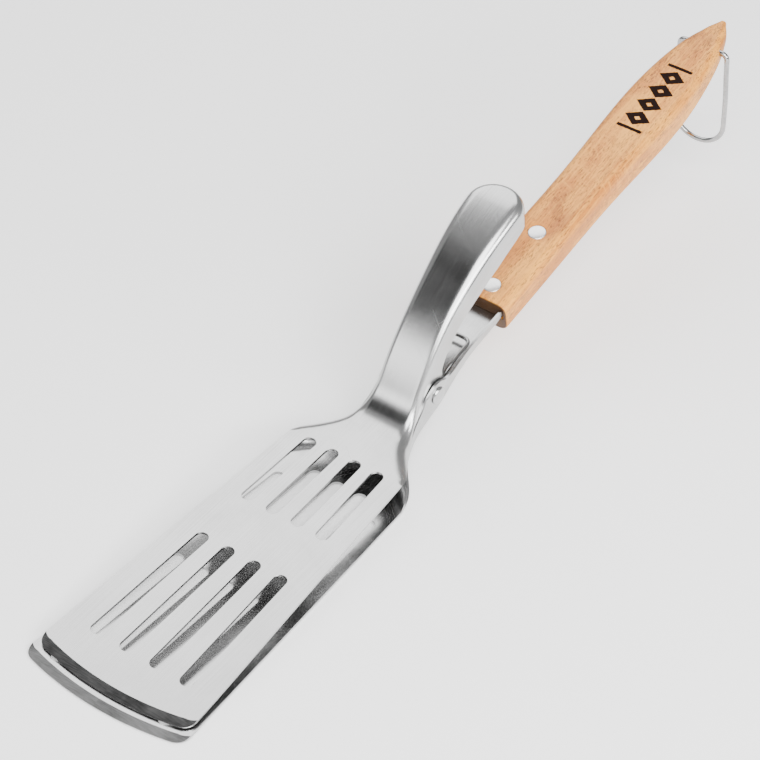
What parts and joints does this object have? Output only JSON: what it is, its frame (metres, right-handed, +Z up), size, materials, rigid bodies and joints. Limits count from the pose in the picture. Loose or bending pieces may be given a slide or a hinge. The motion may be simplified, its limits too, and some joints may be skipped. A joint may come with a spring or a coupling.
{
  "type": "grill spatula",
  "caption": "Slotted steel grill spatula with a spring-closed upper blade worked by a thumb lever, a riveted wooden handle and a wire hanging loop.",
  "frame": {"origin": "middle of the land between the two rows of slots, on the underside of the lower blade", "axes": "+X from the blade tip to the handle, +Z up out of the blade, +Y across, so y = 0 is the plane of symmetry"},
  "size_m": [0.4542, 0.077, 0.0878],
  "materials": {
    "stainless_sheet": "satin rolled sheet, drawn lever polished brighter, ground bevel at the tips",
    "stainless_pin": "low domed rivet heads, polished",
    "spring_wire": "bright drawn spring wire",
    "handle_wood": "oiled light brown hardwood with a curly grain",
    "rivet_metal": "flush, satin polished with the wood",
    "loop_wire": "bright plated wire"
  },
  "bodies": {
    "frame": {"lower_blade": "stainless_sheet", "wood_handle": "handle_wood", "pivot_pin": "stainless_pin", "torsion_spring": "spring_wire", "front_rivet_post": "rivet_metal", "front_rivet_socket": "rivet_metal", "rear_rivet_post": "rivet_metal", "rear_rivet_socket": "rivet_metal"},
    "clamp": {"upper_blade": "stainless_sheet", "spring_arm_left": "spring_wire", "spring_arm_right": "spring_wire"},
    "loop": {"hanging_loop": "loop_wire"}
  },
  "joints": [
    {"name": "lever_pivot", "type": "hinge", "parent": "frame", "child": "clamp", "pos_m": [0.1015, 0, 0.0226], "axis": [0, 1, 0], "range_deg": [0, 24], "stiffness_Nm_per_rad": 0.6, "springref_deg": -20.05, "deforming": ["torsion_spring", "spring_arm_left", "spring_arm_right"]},
    {"name": "loop_swing", "type": "hinge", "parent": "frame", "child": "loop", "pos_m": [0.33221, 0, 0.07605], "axis": [0, 1, 0], "range_deg": [-255, 56]}
  ]
}
